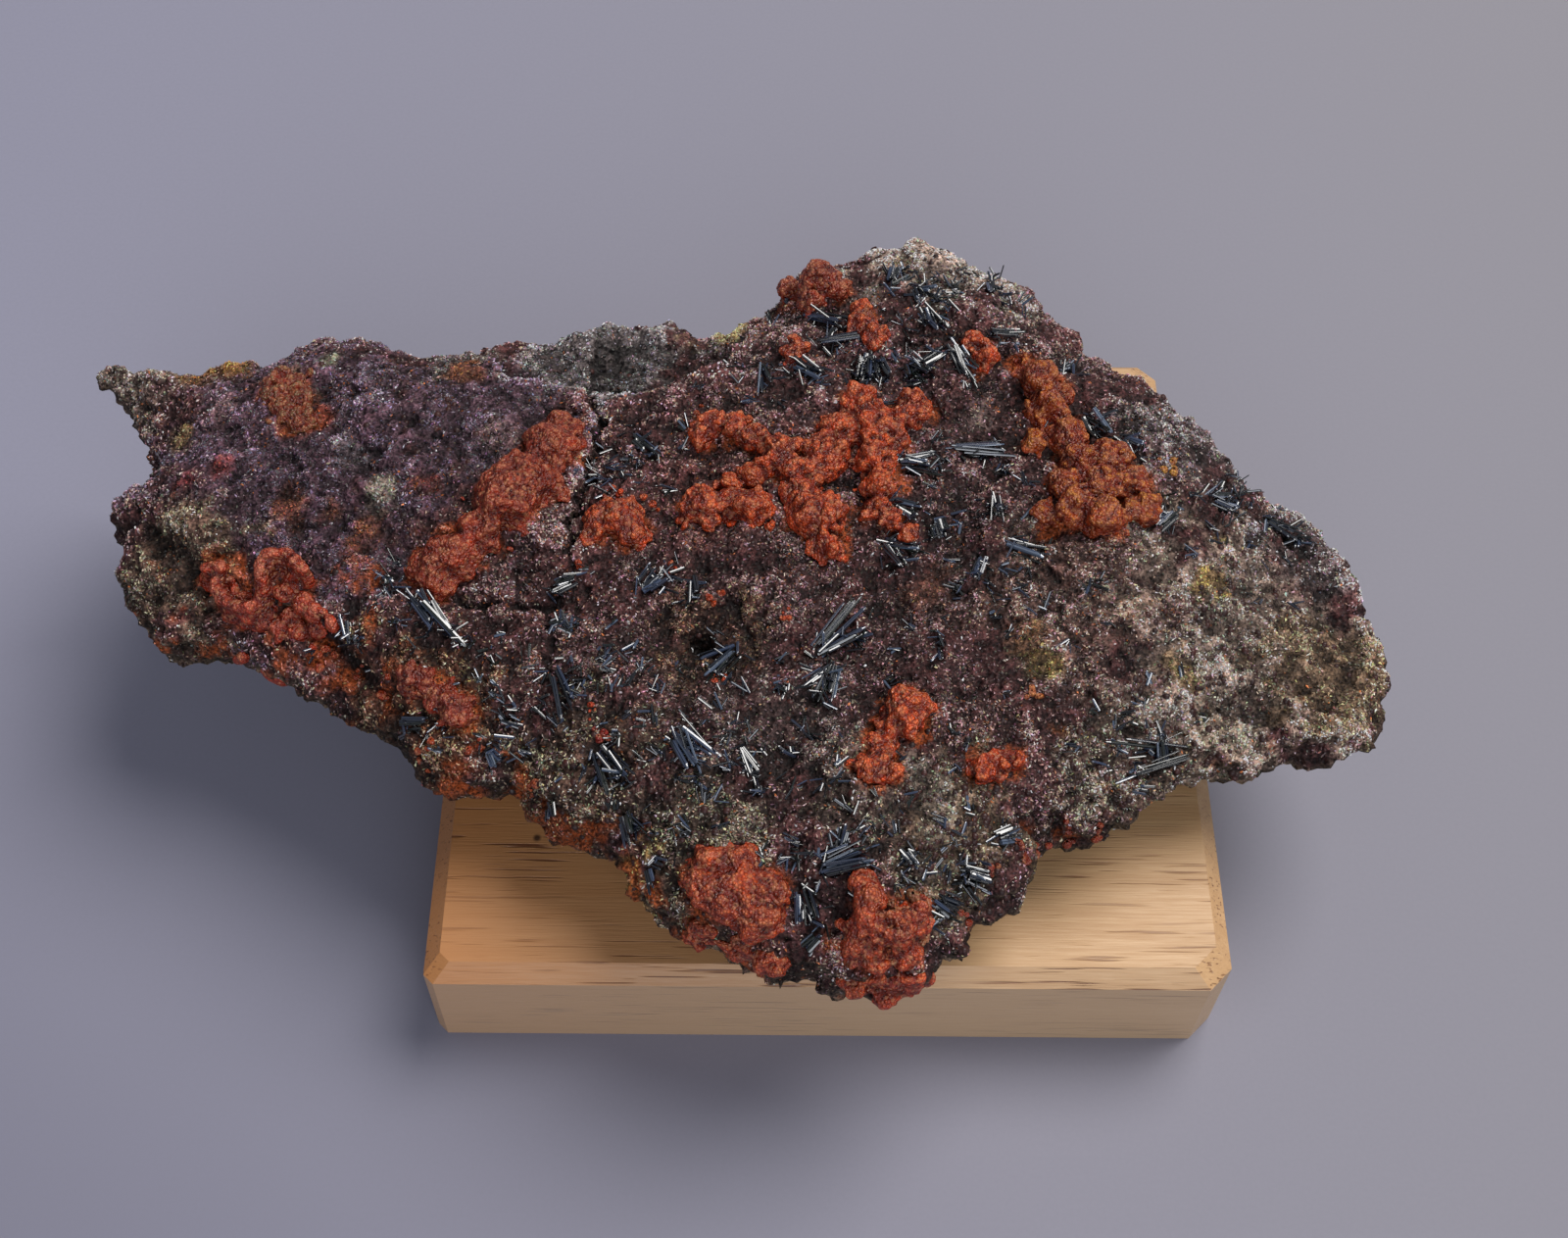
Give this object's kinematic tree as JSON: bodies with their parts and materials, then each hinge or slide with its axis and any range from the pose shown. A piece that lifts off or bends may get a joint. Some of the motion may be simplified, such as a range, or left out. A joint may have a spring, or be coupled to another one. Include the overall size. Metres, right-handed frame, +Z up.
{
  "type": "hutchinsonite mineral specimen on a wooden block",
  "caption": "Broken slab of drusy sulphide ore with sprays of dark bladed crystals and orange crusts, resting on a bevelled square softwood display block.",
  "frame": {"origin": "centre of the display block's flat underside", "axes": "+X along the slab's long side to the right, +Y away from the viewer, +Z up"},
  "size_m": [0.2054, 0.1377, 0.0568],
  "materials": {
    "pine": "planed softwood with a thin satin finish",
    "matrix_rock": "rough broken ore with a fine drusy surface",
    "orange_crust": "granular, glossy in its hollows and dusty on its tops",
    "crystal": "bright metallic lustre on striated blades"
  },
  "bodies": {
    "root": {"display_block": "pine", "matrix": "matrix_rock", "crust_back": "orange_crust", "crust_back_dot": "orange_crust", "crust_back_far": "orange_crust", "crust_back_right": "orange_crust", "crust_beside_crack": "orange_crust", "crust_centre": "orange_crust", "crust_diagonal": "orange_crust", "crust_front": "orange_crust", "crust_front_right": "orange_crust", "crust_left_curl": "orange_crust", "crust_left_front": "orange_crust", "crust_left_top": "orange_crust", "crust_nose_left": "orange_crust", "crust_nose_right": "orange_crust", "crust_right": "orange_crust", "crystals_back_bright": "crystal", "crystals_back_centre": "crystal", "crystals_back_dark": "crystal", "crystals_back_fan": "crystal", "crystals_back_large": "crystal", "crystals_back_right": "crystal", "crystals_centre_fan": "crystal", "crystals_centre_low": "crystal", "crystals_crack_bright": "crystal", "crystals_front_right": "crystal", "crystals_left_blade": "crystal", "crystals_left_centre": "crystal", "crystals_left_hollow": "crystal", "crystals_left_pale": "crystal", "crystals_long_green": "crystal", "crystals_low_dark": "crystal", "crystals_low_left": "crystal", "crystals_low_middle": "crystal", "crystals_middle_bright": "crystal", "crystals_middle_dark": "crystal", "crystals_middle_low": "crystal", "crystals_nose": "crystal", "crystals_over_centre": "crystal", "crystals_over_nose": "crystal", "crystals_pale_plate": "crystal", "crystals_right_flat": "crystal", "crystals_right_rim": "crystal", "crystals_right_top": "crystal", "crystals_upright": "crystal"}
  },
  "joints": []
}
